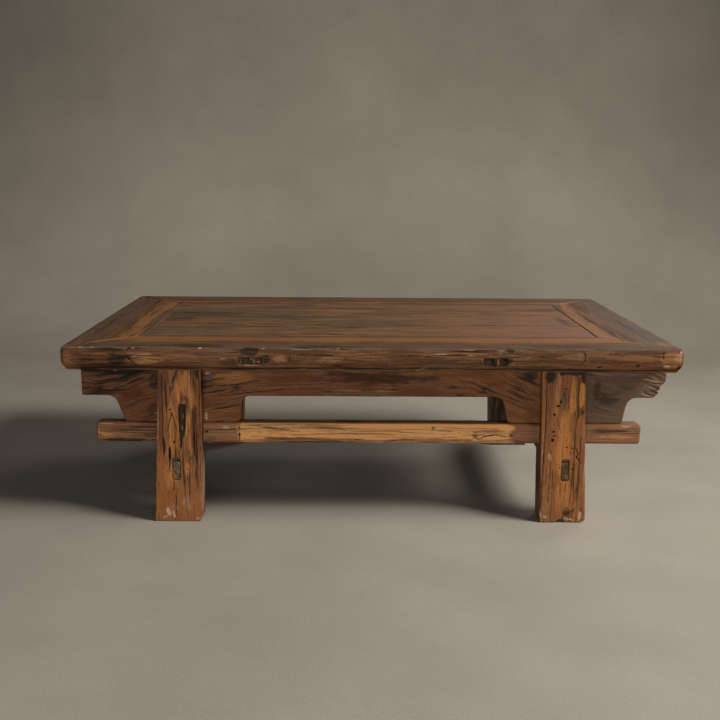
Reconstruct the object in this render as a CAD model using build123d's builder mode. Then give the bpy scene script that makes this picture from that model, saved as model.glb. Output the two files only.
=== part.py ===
from build123d import *
import os

# Low kang table: a framed top on four forked legs. Each leg's fork straddles an apron and the
# long rail under it, and side stretchers tie the front legs to the rear ones.
# Millimetres. The floor is Z = 0, X runs along the table and the front looks along -Y.

# Whole table
table_length = 970.0
table_width = 600.0
table_height = 300.0

# Top frame: four mitred members with a bullnose edge over a thin lip that stands back from it
frame_thickness = 38.0
frame_member_width = 110.0
lip_height = 5.0
lip_inset = 7.0
bullnose_foot_inset = 4.5
bullnose_widest_height = 24.0
bullnose_shoulder_inset = 1.8
arris_drop = 3.0
arris_inset = 5.2
tip_round_radius = 13.0
tip_round_offset = 12.0

# Tenons of the long frame members through the short ones
corner_tenon_width = 50.0
corner_tenon_thickness = 12.0
corner_tenon_margin = 36.0
corner_tenon_height = 11.0
corner_tenon_recess = 1.0

# Panel: tongued planks lying in a groove of the frame, flush with its top
plank_thickness = 14.0
front_plank_width = 122.0
rear_plank_width = 119.0
tongue_thickness = 6.0
tongue_length = 8.0
tongue_drop = 6.0
groove_play = 0.1
movement_gap = 1.0
plank_gap = 0.4

# Battens under the panel, with dovetailed backs and wedged through tenons
batten_leg_gap = 82.5
batten_width = 42.0
batten_depth = 22.0
dovetail_depth = 5.0
dovetail_neck = 24.0
dovetail_spread = 30.0
dovetail_play = 0.1
batten_tenon_width = 37.5
batten_tenon_height = 13.0
batten_tenon_recess = 3.0
batten_wedge_mouth = 4.5
batten_wedge_tip = 2.0
batten_wedge_length = 26.0
batten_wedge_offset = 5.0

# Legs: spreading towards the foot, more so on the outer side, with a forked head
leg_setback = 46.0
leg_thickness = 46.0
leg_end_inset = 142.5
rear_leg_shift = 18.5
leg_head_width = 70.0
leg_foot_width = 75.5
leg_inner_splay = 6.5
outer_tongue = 15.0
slot_width = 19.0
head_tenon_length = 46.0
head_tenon_thickness = 8.0
head_tenon_height = 22.0
bead_width = 5.0
bead_groove_width = 1.6
bead_groove_depth = 1.4

# Long rails, notched over the legs' tongues and resting on the bottom of their slots
rail_bottom = 131.5
rail_height = 33.5
rail_depth = 30.0
rail_end_inset = 41.0
rail_round = 5.0
front_rail_shift = -3.5

# Aprons, standing on the rails and filling the slots, with a foot on both sides of each leg
apron_end_inset = 15.0
apron_arm_height = 53.5
apron_end_round = 2.5
outer_curve_radius = 17.0
inner_curve_radius = 14.0

# The aprons' feet at the left and the right legs, as reaches from the leg's head
left_outer_curve_reach = 74.3
left_outer_foot_reach = 57.4
left_inner_curve_reach = 62.5
left_inner_foot_reach = 59.0
left_inner_foot_radius = 9.0
right_outer_curve_reach = 75.4
right_outer_foot_reach = 67.0
right_inner_curve_reach = 59.2
right_inner_foot_reach = 50.5
right_inner_foot_radius = 7.0

# Split-off end of the front apron, as steps in from the board's end and up from its arm
split_end_reach = 8.3
split_steps = ((0.8, 25.5), (9.0, 20.0), (11.0, 8.5), (20.0, 0.0))

# Side stretchers: the lower ones' tenons go through the legs and are wedged from above, the upper
# ones' go through the apron and stop inside the leg's outer tongue
lower_stretcher_inset = 45.0
lower_stretcher_z = 89.5
upper_stretcher_inset = 37.0
upper_stretcher_z = 207.5
stretcher_width = 22.0
stretcher_height = 38.0
stretcher_tenon_width = 13.0
stretcher_tenon_height = 37.0
stretcher_tenon_recess = 1.0
upper_tenon_cover = 7.0
stretcher_wedge_mouth = 5.0
stretcher_wedge_tip = 1.5
stretcher_wedge_length = 36.0
stretcher_wedge_recess = 4.0

# Places that follow from the sizes above
half_length = table_length / 2
half_width = table_width / 2
frame_bottom = table_height - frame_thickness
opening_x = half_length - frame_member_width
opening_y = half_width - frame_member_width
tongue_top = table_height - tongue_drop
plank_bottom = table_height - plank_thickness
groove_depth = tongue_length + movement_gap
leg_face = half_width - leg_setback
leg_back = leg_face - leg_thickness
slot_face = leg_face - outer_tongue
slot_back = slot_face - slot_width
slot_middle = (slot_face + slot_back) / 2
leg_inner_x = half_length - leg_end_inset - leg_head_width
batten_x = leg_inner_x - batten_leg_gap
apron_end = half_length - apron_end_inset
rail_length = table_length - 2 * rail_end_inset
rail_top = rail_bottom + rail_height
arm_bottom = frame_bottom - apron_arm_height
lower_tenon_bottom = lower_stretcher_z - stretcher_tenon_height / 2
lower_tenon_top = lower_stretcher_z + stretcher_tenon_height / 2 - stretcher_wedge_mouth
upper_tenon_bottom = upper_stretcher_z - stretcher_tenon_height / 2
upper_tenon_top = upper_stretcher_z + stretcher_tenon_height / 2
upper_mortise_reach = leg_face - upper_tenon_cover
lower_x = leg_inner_x + lower_stretcher_inset
upper_x = leg_inner_x + upper_stretcher_inset
batten_tenon_bottom = plank_bottom - batten_tenon_height

# Sides and ends, as a name and a sign
sides = (("front", -1), ("rear", 1))
ends = (("left", -1), ("right", 1))
apron_feet = {
    -1: (left_outer_curve_reach, left_outer_foot_reach, left_inner_foot_reach, left_inner_curve_reach,
         left_inner_foot_radius),
    1: (right_outer_curve_reach, right_outer_foot_reach, right_inner_foot_reach, right_inner_curve_reach,
        right_inner_foot_radius),
}

os.makedirs("parts", exist_ok=True)


def save(piece, name):
    piece.part.label = name
    export_step(piece.part, f"parts/{name}.step")


def block(low, high, mode=Mode.ADD):
    """Box between two corners."""
    middle = [(a + b) / 2 for a, b in zip(low, high)]
    size = [abs(b - a) for a, b in zip(low, high)]
    with Locations(tuple(middle)):
        Box(*size, mode=mode)


def frame_blank(start, inward, length):
    """Member with square ends: its section runs inward from its widest point, up from its underside."""
    shoulder_height = frame_thickness - arris_drop
    groove_middle = tongue_top - tongue_thickness / 2 - frame_bottom
    along = Vector(*inward).cross(Vector(0, 0, 1))
    with BuildSketch(Plane(origin=start, x_dir=inward, z_dir=along)) as section:
        with BuildLine():
            bullnose = ThreePointArc(
                (bullnose_foot_inset, lip_height),
                (0, bullnose_widest_height),
                (bullnose_shoulder_inset, shoulder_height),
            )
            arris = TangentArc(bullnose @ 1, (arris_inset, frame_thickness), tangent=bullnose % 1)
            Polyline(
                arris @ 1,
                (frame_member_width, frame_thickness),
                (frame_member_width, 0),
                (lip_inset, 0),
                (lip_inset, lip_height),
                bullnose @ 0,
            )
        make_face()
        with Locations((frame_member_width - groove_depth / 2, groove_middle)):
            Rectangle(groove_depth, tongue_thickness + 2 * groove_play, mode=Mode.SUBTRACT)
    extrude(section.sketch, amount=length)


def prism(plane, corners, amount, both, mode):
    """Straight-sided prism from its corners on a plane."""
    with BuildSketch(plane) as outline:
        with BuildLine():
            Polyline(*corners, close=True)
        make_face()
    extrude(outline.sketch, amount=amount, both=both, mode=mode)


def mitre(end, side, along_x, along_y):
    """Cuts the member at a corner of the top, keeping what lies along (along_x, along_y)."""
    corner = (end * half_length, side * half_width, 0)
    split(bisect_by=Plane(origin=corner, z_dir=(along_x, along_y, 0)), keep=Keep.TOP)


def corner_tenon(end, side, mode):
    outer = half_width - corner_tenon_margin
    low_z = frame_bottom + corner_tenon_height
    block(
        (end * (half_length - corner_tenon_recess), side * outer, low_z),
        (end * opening_x, side * (outer - corner_tenon_width), low_z + corner_tenon_thickness),
        mode,
    )


def round_tip(end, side):
    """Rounds the upright edge where two frame members meet at a corner of the top."""
    centre = (end * (half_length - tip_round_offset), side * (half_width - tip_round_offset))
    with BuildSketch(Plane.XY.offset(frame_bottom)) as waste:
        with Locations((end * half_length, side * half_width)):
            Rectangle(2 * tip_round_offset, 2 * tip_round_offset)
        with Locations(centre):
            Circle(tip_round_radius, mode=Mode.SUBTRACT)
    extrude(waste.sketch, amount=frame_thickness, mode=Mode.SUBTRACT)


def leg_inner(side):
    """Distance of a leg's head from the middle of the table, on its inner side."""
    return leg_inner_x if side < 0 else leg_inner_x - rear_leg_shift


def leg_slab(end, side, y_from, y_to, mode=Mode.ADD):
    """The leg's outline as seen from the front, between two distances from the middle."""
    inner = leg_inner(side)
    foot = inner + leg_inner_splay
    corners = (
        (end * foot, 0),
        (end * (foot + leg_foot_width), 0),
        (end * (inner + leg_head_width), frame_bottom),
        (end * inner, frame_bottom),
    )
    plane = Plane.XZ.offset(-side * (y_from + y_to) / 2)
    prism(plane, corners, abs(y_to - y_from) / 2, True, mode)


def head_tenons(end, side, mode):
    """The two tenons on top of a leg's fork, one on each tongue."""
    middle_x = leg_inner(side) + leg_head_width / 2
    tongue_middles = ((leg_face + slot_face) / 2, (slot_back + leg_back) / 2)
    for middle_y in tongue_middles:
        block(
            (end * (middle_x - head_tenon_length / 2), side * (middle_y - head_tenon_thickness / 2),
             frame_bottom - head_tenon_thickness / 2),
            (end * (middle_x + head_tenon_length / 2), side * (middle_y + head_tenon_thickness / 2),
             frame_bottom + head_tenon_height),
            mode,
        )


def bead_groove(end, side, foot_x, head_x):
    """Incised line up the leg's face, from the foot to the head."""
    width = end * bead_groove_width
    corners = (
        (foot_x, 0),
        (foot_x + width, 0),
        (head_x + width, frame_bottom),
        (head_x, frame_bottom),
    )
    plane = Plane.XZ.offset(-side * (leg_face - bead_groove_depth / 2))
    prism(plane, corners, bead_groove_depth / 2, True, Mode.SUBTRACT)


def stretcher_tenon(middle_x, side, bottom, top, reach, mode=Mode.ADD):
    half = stretcher_tenon_width / 2
    block((middle_x - half, side * leg_back, bottom), (middle_x + half, side * reach, top), mode)


def stretcher_wedge(middle_x, side, recess, mode=Mode.ADD):
    """Wedge over a lower stretcher's tenon, thinning towards the middle of the table."""
    taper = (stretcher_wedge_mouth - stretcher_wedge_tip) / stretcher_wedge_length
    mouth = stretcher_wedge_mouth - taper * recess
    corners = (
        (side * (leg_face - recess), lower_tenon_top),
        (side * (leg_face - recess), lower_tenon_top + mouth),
        (side * (leg_face - stretcher_wedge_length), lower_tenon_top + stretcher_wedge_tip),
        (side * (leg_face - stretcher_wedge_length), lower_tenon_top),
    )
    prism(Plane.YZ.offset(middle_x), corners, stretcher_tenon_width / 2, True, mode)


def dovetail(middle_x, play, length):
    """Dovetailed back of a batten, or with some play the slot for it."""
    corners = (
        (middle_x - dovetail_neck / 2 - play, plank_bottom),
        (middle_x + dovetail_neck / 2 + play, plank_bottom),
        (middle_x + dovetail_spread / 2 + play, plank_bottom + dovetail_depth + play),
        (middle_x - dovetail_spread / 2 - play, plank_bottom + dovetail_depth + play),
    )
    prism(Plane.XZ, corners, length / 2, True, Mode.SUBTRACT if play else Mode.ADD)


def batten_wedge(middle_x, side, mode=Mode.ADD):
    """Wedge driven into the end of a batten's tenon, thinning towards the middle of the table."""
    mouth_y = side * (half_width - batten_tenon_recess)
    tip_y = side * (half_width - batten_tenon_recess - batten_wedge_length)
    wedge_x = middle_x + batten_wedge_offset
    corners = (
        (wedge_x - batten_wedge_mouth / 2, mouth_y),
        (wedge_x + batten_wedge_mouth / 2, mouth_y),
        (wedge_x + batten_wedge_tip / 2, tip_y),
        (wedge_x - batten_wedge_tip / 2, tip_y),
    )
    prism(Plane.XY.offset(batten_tenon_bottom), corners, batten_tenon_height, False, mode)


def apron_half(end, side):
    """Corners of an apron's lower edge from its end to its middle, each with its radius."""
    outer_curve, outer_foot, inner_foot, inner_curve, foot_radius = apron_feet[end]
    inner = leg_inner(side)
    outer = inner + leg_head_width
    return [
        (end * apron_end, arm_bottom, apron_end_round),
        (end * (outer + outer_curve), arm_bottom, outer_curve_radius),
        (end * (outer + outer_foot), rail_top, 0),
        (end * (inner - inner_foot), rail_top, foot_radius),
        (end * (inner - inner_curve), arm_bottom, inner_curve_radius),
    ]


# Top frame, long members: they carry the legs, the battens' ends and the corner tenons
for side_name, side in sides:
    with BuildPart() as frame_long:
        frame_blank((side * half_length, side * half_width, frame_bottom), (0, -side, 0), table_length)
        for end_name, end in ends:
            mitre(end, side, -end, side)
            corner_tenon(end, side, Mode.ADD)
            round_tip(end, side)
            head_tenons(end, side, Mode.SUBTRACT)
            half = batten_tenon_width / 2
            middle_x = end * batten_x
            block(
                (middle_x - half, side * opening_y, batten_tenon_bottom),
                (middle_x + half, side * half_width, plank_bottom),
                Mode.SUBTRACT,
            )
    save(frame_long, f"top_frame_{side_name}")

# Top frame, short members: mortised for the corner tenons
for end_name, end in ends:
    with BuildPart() as frame_short:
        frame_blank((end * half_length, -end * half_width, frame_bottom), (-end, 0, 0), table_width)
        for side_name, side in sides:
            mitre(end, side, end, -side)
            corner_tenon(end, side, Mode.SUBTRACT)
            round_tip(end, side)
    save(frame_short, f"top_frame_{end_name}")

# Panel planks, tongued at their ends and rear edges, grooved at their front edges
seams = (-opening_y, front_plank_width - opening_y, opening_y - rear_plank_width, opening_y)
for number, plank_name in enumerate(("front", "middle", "rear")):
    front_y = seams[number] + plank_gap / 2
    rear_y = seams[number + 1] - plank_gap / 2
    plank_end = opening_x - plank_gap / 2
    tongue_end = opening_x + tongue_length
    tongue_bottom = tongue_top - tongue_thickness
    with BuildPart() as plank:
        block((-plank_end, front_y, plank_bottom), (plank_end, rear_y, table_height))
        front_tongue = front_y - tongue_length if number == 0 else front_y
        block((-tongue_end, front_tongue, tongue_bottom), (tongue_end, rear_y + tongue_length, tongue_top))
        if number > 0:
            block(
                (-tongue_end, front_y, tongue_bottom - groove_play),
                (tongue_end, front_y + groove_depth, tongue_top + groove_play),
                Mode.SUBTRACT,
            )
        for end_name, end in ends:
            dovetail(end * batten_x, dovetail_play, table_width)
    save(plank, f"top_plank_{plank_name}")

# Battens across the underside of the panel
for end_name, end in ends:
    middle_x = end * batten_x
    with BuildPart() as batten:
        block(
            (middle_x - batten_width / 2, -opening_y, plank_bottom - batten_depth),
            (middle_x + batten_width / 2, opening_y, plank_bottom),
        )
        dovetail(middle_x, 0, 2 * opening_y)
        reach = half_width - batten_tenon_recess
        block(
            (middle_x - batten_tenon_width / 2, -reach, batten_tenon_bottom),
            (middle_x + batten_tenon_width / 2, reach, plank_bottom),
        )
        for side_name, side in sides:
            batten_wedge(middle_x, side, Mode.SUBTRACT)
    save(batten, f"batten_{end_name}")

with BuildPart() as batten_wedges:
    for end_name, end in ends:
        for side_name, side in sides:
            batten_wedge(end * batten_x, side)
save(batten_wedges, "batten_wedges")

# Legs
for side_name, side in sides:
    for end_name, end in ends:
        inner = leg_inner(side)
        with BuildPart() as leg:
            leg_slab(end, side, leg_back, leg_face)
            block(
                (end * inner, side * slot_face, rail_bottom),
                (end * (inner + leg_inner_splay + leg_foot_width), side * slot_back, table_height),
                Mode.SUBTRACT,
            )
            head_tenons(end, side, Mode.ADD)
            stretcher_tenon(end * lower_x, side, lower_tenon_bottom, lower_tenon_top, leg_face,
                            Mode.SUBTRACT)
            stretcher_wedge(end * lower_x, side, 0, Mode.SUBTRACT)
            stretcher_tenon(end * upper_x, side, upper_tenon_bottom, upper_tenon_top, upper_mortise_reach,
                            Mode.SUBTRACT)
            foot = inner + leg_inner_splay
            bead_groove(end, side, end * (foot + bead_width), end * (inner + bead_width))
            outer_inset = bead_width + bead_groove_width
            bead_groove(end, side, end * (foot + leg_foot_width - outer_inset),
                        end * (inner + leg_head_width - outer_inset))
        save(leg, f"leg_{side_name}_{end_name}")

# Long rails
for side_name, side in sides:
    shift = front_rail_shift if side < 0 else 0
    with BuildPart() as rail:
        with Locations((shift, side * slot_middle, rail_bottom + rail_height / 2)):
            Box(rail_length, rail_depth, rail_height)
        fillet(rail.edges(), radius=rail_round)
        for end_name, end in ends:
            leg_slab(end, side, slot_face, leg_face, Mode.SUBTRACT)
            leg_slab(end, side, leg_back, slot_back, Mode.SUBTRACT)
    save(rail, f"long_rail_{side_name}")

# Aprons: the front one has lost the lower corner of its right end
for side_name, side in sides:
    outline = [(-apron_end, frame_bottom, 0)] + apron_half(-1, side) + apron_half(1, side)[::-1]
    if side < 0:
        split_end = apron_end + split_end_reach
        outline.pop()
        outline += [(split_end - inset, arm_bottom + rise, 0) for inset, rise in split_steps[::-1]]
        outline.append((split_end, frame_bottom, 0))
    else:
        outline.append((apron_end, frame_bottom, 0))
    with BuildPart() as apron:
        with BuildSketch(Plane.XZ.offset(-side * slot_middle)):
            with BuildLine():
                FilletPolyline(*[(x, z) for x, z, _ in outline], radius=[r for _, _, r in outline],
                               close=True)
            make_face()
        extrude(amount=slot_width / 2, both=True)
        for end_name, end in ends:
            stretcher_tenon(end * upper_x, side, upper_tenon_bottom, upper_tenon_top, leg_face,
                            Mode.SUBTRACT)
    save(apron, f"apron_{side_name}")

# Side stretchers, two at each end
for end_name, end in ends:
    for level, middle_x, middle_z, bottom, top, mortise_reach in (
        ("lower", end * lower_x, lower_stretcher_z, lower_tenon_bottom, lower_tenon_top, leg_face),
        ("upper", end * upper_x, upper_stretcher_z, upper_tenon_bottom, upper_tenon_top,
         upper_mortise_reach),
    ):
        with BuildPart() as stretcher:
            block(
                (middle_x - stretcher_width / 2, -leg_back, middle_z - stretcher_height / 2),
                (middle_x + stretcher_width / 2, leg_back, middle_z + stretcher_height / 2),
            )
            for side_name, side in sides:
                stretcher_tenon(middle_x, side, bottom, top, mortise_reach - stretcher_tenon_recess)
        save(stretcher, f"side_stretcher_{level}_{end_name}")

with BuildPart() as stretcher_wedges:
    for end_name, end in ends:
        for side_name, side in sides:
            stretcher_wedge(end * lower_x, side, stretcher_wedge_recess)
save(stretcher_wedges, "stretcher_wedges")
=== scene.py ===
import math

import bmesh
import bpy
import numpy as np
from mathutils import Matrix, Vector


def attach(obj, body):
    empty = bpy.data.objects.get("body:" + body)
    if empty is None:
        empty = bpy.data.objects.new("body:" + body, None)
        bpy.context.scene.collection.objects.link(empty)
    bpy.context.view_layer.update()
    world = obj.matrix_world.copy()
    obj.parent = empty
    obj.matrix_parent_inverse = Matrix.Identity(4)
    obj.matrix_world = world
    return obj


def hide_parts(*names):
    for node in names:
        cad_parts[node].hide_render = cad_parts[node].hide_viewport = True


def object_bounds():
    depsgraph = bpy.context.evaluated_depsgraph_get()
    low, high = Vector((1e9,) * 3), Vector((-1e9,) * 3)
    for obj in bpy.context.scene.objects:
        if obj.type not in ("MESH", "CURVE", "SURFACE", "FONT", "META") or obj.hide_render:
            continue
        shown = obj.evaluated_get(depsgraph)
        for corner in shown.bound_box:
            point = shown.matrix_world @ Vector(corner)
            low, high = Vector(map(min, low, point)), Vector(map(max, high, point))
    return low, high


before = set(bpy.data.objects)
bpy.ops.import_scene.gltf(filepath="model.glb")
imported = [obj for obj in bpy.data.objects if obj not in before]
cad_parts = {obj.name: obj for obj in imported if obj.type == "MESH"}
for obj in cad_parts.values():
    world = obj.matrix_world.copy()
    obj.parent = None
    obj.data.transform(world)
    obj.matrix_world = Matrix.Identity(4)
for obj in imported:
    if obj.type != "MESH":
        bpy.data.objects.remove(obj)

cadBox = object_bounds()
mm = 0.001


def placed(name, data):
    made = bpy.data.objects.new(name, data)
    bpy.context.scene.collection.objects.link(made)
    return made


def evaluated(thing):
    # the mesh that an object's modifiers make
    return bpy.data.meshes.new_from_object(thing.evaluated_get(bpy.context.evaluated_depsgraph_get()))


def gridded(node, grid, fine=0):
    # the joiner's piece as an even net of small faces, drawn back onto its true surface;
    # those within fine millimetres of its front are half as large
    mesh = bmesh.new()
    mesh.from_mesh(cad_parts[node].data)
    bmesh.ops.remove_doubles(mesh, verts=mesh.verts, dist=0.01 * mm)
    data = bpy.data.meshes.new(node + "Blank")
    mesh.to_mesh(data)
    mesh.free()
    blank = placed(node + "Blank", data)
    net = blank.modifiers.new("net", "REMESH")
    net.mode, net.voxel_size = "VOXEL", grid * mm
    netted = evaluated(blank)
    blank.modifiers.clear()
    if fine:
        mesh = bmesh.new()
        mesh.from_mesh(netted)
        limit = min(vert.co.y for vert in mesh.verts) + fine * mm
        near = {edge for face in mesh.faces if face.calc_center_median().y < limit for edge in face.edges}
        bmesh.ops.subdivide_edges(mesh, edges=list(near), cuts=1, use_grid_fill=True)
        mesh.to_mesh(netted)
        mesh.free()
    blank.data = netted
    snug = blank.modifiers.new("snug", "SHRINKWRAP")
    snug.target, snug.wrap_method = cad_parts[node], "NEAREST_SURFACEPOINT"
    made = evaluated(blank)
    made.name = node + "Worn"
    bpy.data.objects.remove(blank)
    bpy.data.meshes.remove(data)
    bpy.data.meshes.remove(netted)
    return made


# whole numbers that scramble a cell's place, and then its key
cellKeys = (73856093, 19349663, 83492791)
mixKeys = ((15, 2246822519), (13, 3266489917))


def softNoise(points, size, seed):
    # smooth noise from -1 to 1, whose lumps are size millimetres wide, or one size for each axis
    place = points / (np.array(size, float) * mm) + seed * 17.31
    cell = np.floor(place).astype(np.int64)
    part = place - cell
    part = part * part * (3 - 2 * part)
    total = np.zeros(len(points))
    for corner in range(8):
        offset = np.array([corner & 1, corner >> 1 & 1, corner >> 2 & 1])
        key = (cell + offset) * np.array(cellKeys)
        key = (key[:, 0] ^ key[:, 1] ^ key[:, 2]) & 0xffffffff
        for shift, factor in mixKeys:
            key = ((key ^ (key >> shift)) * factor) & 0xffffffff
        value = ((key ^ (key >> 16)) & 0xffff) / 32767.5 - 1
        total += value * np.prod(np.where(offset, part, 1 - part), axis=1)
    return total


def fade(value, low, high):
    # 0 below low, 1 above high, smooth between; low may be the greater
    part = np.clip((value - low) / (high - low), 0, 1)
    return part * part * (3 - 2 * part)


def rows(items, key, wide, kind=float):
    # one property of a mesh's items as the rows of an array
    out = np.empty(len(items) * wide, kind)
    items.foreach_get(key, out)
    return out.reshape(-1, wide)


layerNames = ("worn", "grime", "tone", "glow", "burnt", "grey", "red", "pale", "line", "drift")
# each side's two axes and the way it looks, and how far noise is drawn out along the grain
facings = {"front": (0, 2, (0, -1, 0)), "top": (0, 1, (0, 0, 1)),
           "left": (1, 2, (-1, 0, 0)), "right": (1, 2, (1, 0, 0))}
grainSizes = {"long": (30, 6, 6), "deep": (6, 30, 6), "tall": (6, 6, 30)}
# how the marks in a side's dictionary are cut, with depths in millimetres
flakeCut = dict(depth=0.5, ragged=0.9, soft=0.3, tilt=-0.1)
grooveCut = dict(depth=0.7, wander=0.25, burnt=0.85)
flowCut = dict(wide=1.1, depth=0.2, wander=0.5, burnt=0.65)
crackNarrowing = 0.72


class Skin:
    # the points of a piece as arrays, with the layers that its wood is painted by

    def __init__(self, mesh, grain, seed):
        count = len(mesh.vertices)
        self.mesh, self.seed = mesh, seed
        self.at = rows(mesh.vertices, "co", 3)
        self.normal = rows(mesh.vertex_normals, "vector", 3)
        self.edges = rows(mesh.edges, "vertices", 2, np.int64)
        self.degree = np.maximum(np.bincount(self.edges.ravel(), minlength=count), 1)
        self.start = self.at.copy()
        self.layers = {name: np.zeros(count) for name in layerNames}
        self.grain = np.array(grainSizes[grain], float)
        self.streaky = self.along(1, 1) * 0.6 + self.along(0.4, 2) * 0.4
        self.crumbly = softNoise(self.at, 4, seed + 3)
        self.torn = self.along(0.3, 10)

    def along(self, scale, shift, extra=1):
        # noise drawn out along the grain
        return softNoise(self.start, self.grain * scale * (self.grain / 6) ** (extra - 1), self.seed + shift)

    def shared(self, first, second):
        # mean of what its edges bring to every point
        a, b = self.edges.T
        return (np.bincount(a, first, len(self.at)) + np.bincount(b, second, len(self.at))) / self.degree

    def wear(self, rub, patchy=0.8):
        # rounds the arrises over about rub millimetres, more in some places, and notes where it did
        a, b = self.edges.T
        length = np.linalg.norm(self.at[a] - self.at[b], axis=1) / mm
        local = self.shared(length, length)
        small = np.percentile(local, 10)
        pace = np.minimum((small / local) ** 2, 1)
        hard = np.clip(0.5 + patchy * softNoise(self.at, 45, self.seed + 4)
                       + 0.5 * patchy * softNoise(self.at, 9, self.seed + 5), 0.05, 1)
        for step in range(int(np.clip(round(5 * rub ** 2 / small ** 2), 1, 16))):
            mean = np.stack([self.shared(column[b], column[a]) for column in self.at.T], 1)
            self.at += (0.8 * hard * pace)[:, None] * (mean - self.at)
        moved = np.sum((self.start - self.at) * self.normal, axis=1) / mm
        self.layers["worn"] = fade(moved, 0.1, 0.7)
        self.layers["grime"] = fade(-moved, 0.08, 0.5)

    def season(self, rubbed=0.5, stained=0.5, nicked=0.6):
        # chance patches all over: finish rubbed off, old stains, and nicks along the arrises
        wide = self.along(2.6, 6)
        self.add(fade(wide + 0.35 * self.streaky, 0.28, 0.62), glow=rubbed)
        self.add(fade(self.along(3.1, 7) + 0.35 * self.streaky, 0.34, 0.7), burnt=stained)
        self.add(self.along(5, 8), tone=0.1)
        self.add(self.layers["worn"] * fade(self.crumbly + 0.4 * self.streaky, 0.5, 0.75), pale=nicked)

    def sink(self, depth, facing=None):
        # pushes points in by depth millimetres
        way = self.normal if facing is None else np.array(facings[facing][2])
        self.at -= (depth * mm)[:, None] * way

    def roll(self, depth, wave=60):
        # shallow waves left by the plane and by use, all of them inward
        self.sink(depth * (0.5 + 0.5 * softNoise(self.at, wave, self.seed + 9)))

    def shove(self, at, reach, push, ragged=0.3):
        # knocks a corner in: points within reach of a place are pushed, all in millimetres
        away = np.linalg.norm((self.start / mm - at) / reach, axis=1) + ragged * self.crumbly
        mask = fade(away, 1, 0.35)
        self.at += mask[:, None] * np.array(push) * mm
        self.add(mask * fade(away, 0.2, 0.6), pale=0.5)

    def on(self, facing, tilt=0.35):
        # places on one side; a low tilt takes in its rounded arrises, but no further than 8 mm back
        u, v, way = facings[facing]
        faces = self.normal @ np.array(way) > tilt
        if tilt < 0.2:
            depth = self.start @ np.array(way)
            faces &= depth > depth.max() - 8 * mm
        return self.start[:, u] / mm, self.start[:, v] / mm, faces

    def add(self, mask, **layers):
        for name, amount in layers.items():
            if name == "drift":
                self.layers[name] += amount * mm * mask
            elif name == "tone":
                self.layers[name] += amount * mask
            else:
                self.layers[name] = np.maximum(self.layers[name], amount * mask)

    def band(self, facing, layer, stops, ragged=12):
        # a layer that changes from place to place along the piece
        u, v, faces = self.on(facing)
        place, amount = np.array(stops, float).T
        self.add(faces * np.interp(u + ragged * self.streaky, place, amount / 100), **{layer: 1})

    def spot(self, facing, x, y, wide, high, turn=0, depth=0, ragged=0.5, soft=0.6, tilt=0.35, **layers):
        # an oval patch with a ragged edge
        u, v, faces = self.on(facing, tilt)
        angle = math.radians(turn)
        du, dv = u - x, v - y
        along = (du * math.cos(angle) + dv * math.sin(angle)) / wide
        across = (dv * math.cos(angle) - du * math.sin(angle)) / high
        rough = self.streaky if min(wide, high) > 4 else 0.3 * self.streaky + 0.7 * self.torn
        away = np.hypot(along, across) + ragged * rough
        mask = faces * fade(away, 1.12, 1.12 - max(soft, 0.05))
        self.add(mask, **layers)
        if depth:
            self.sink(depth * mask, facing)

    def crack(self, facing, path, wide=1, depth=0.8, wander=0.7, tilt=0.2, **layers):
        # a split along a path, thinning to nothing at both ends
        u, v, faces = self.on(facing, tilt)
        u = u + wander * self.crumbly
        v = v + wander * self.streaky
        lengths = [math.dist(p, q) for p, q in zip(path, path[1:])]
        whole, run = sum(lengths), 0
        mask = np.zeros(len(u))
        for (x0, y0), (x1, y1), length in zip(path, path[1:], lengths):
            t = np.clip(((u - x0) * (x1 - x0) + (v - y0) * (y1 - y0)) / length ** 2, 0, 1)
            away = np.hypot(u - x0 - t * (x1 - x0), v - y0 - t * (y1 - y0))
            share = (run + t * length) / whole
            width = wide * np.sqrt(np.clip(4 * share * (1 - share), 0.08, 1))
            mask = np.maximum(mask, fade(away, width, width * 0.3))
            run += length
        mask = mask * faces
        self.add(mask, **(layers or {"line": 0.85}))
        if depth:
            self.sink(depth * mask, facing)

    def knot(self, facing, x, y, size, depth=0.3):
        # a dark round knot that the grain flows around
        u, v, faces = self.on(facing)
        du, dv = (u - x) / size, (v - y) / size
        away = np.hypot(du, dv) + 0.25 * self.crumbly + 0.3 * self.streaky
        level = self.grain[0] > 10
        flow = np.tanh(2 * (dv if level else du))
        wide, high = (2.6, 1.7) if level else (1.7, 2.6)
        reach = np.exp(-(du / wide) ** 2 - (dv / high) ** 2)
        self.layers["drift"] += faces * size * 0.9 * mm * flow * reach
        ring = np.exp(-((away - 1) / 0.3) ** 2)
        self.add(faces * ring, line=0.28, burnt=0.45)
        self.add(faces * fade(away, 1.1, 0.3), burnt=0.7)
        self.sink(depth * faces * ring, facing)

    def hole(self, facing, x, y, size, long=1, turn=90, depth=2.5):
        # a beetle's or a nail's hole
        self.spot(facing, x, y, size * long, size, turn, depth, ragged=0.12, soft=0.5, line=1)

    def dress(self, facing, look):
        # one side's own marks in millimetres, amounts in hundredths: bands as (place, amount), patches
        # and flakes as (amount, x, y, wide, high, turn), knots as (x, y, size), holes as
        # (x, y, size, long, turn), cracks and grooves as (width, points), flows as points
        for layer, stops in look.get("bands", {}).items():
            self.band(facing, layer, stops)
        for kind, cut in (("patches", {}), ("flakes", flakeCut)):
            for layer, ovals in look.get(kind, {}).items():
                for amount, *oval in ovals:
                    self.spot(facing, *oval, **cut, **{layer: amount / 100})
        for knot in look.get("knots", ()):
            self.knot(facing, *knot)
        for wide, *path in look.get("cracks", ()):
            self.crack(facing, path, wide * crackNarrowing)
        for wide, *path in look.get("grooves", ()):
            self.crack(facing, path, wide, **grooveCut)
        for path in look.get("flows", ()):
            self.crack(facing, path, **flowCut)
        for hole in look.get("holes", ()):
            self.hole(facing, *hole)

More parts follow.
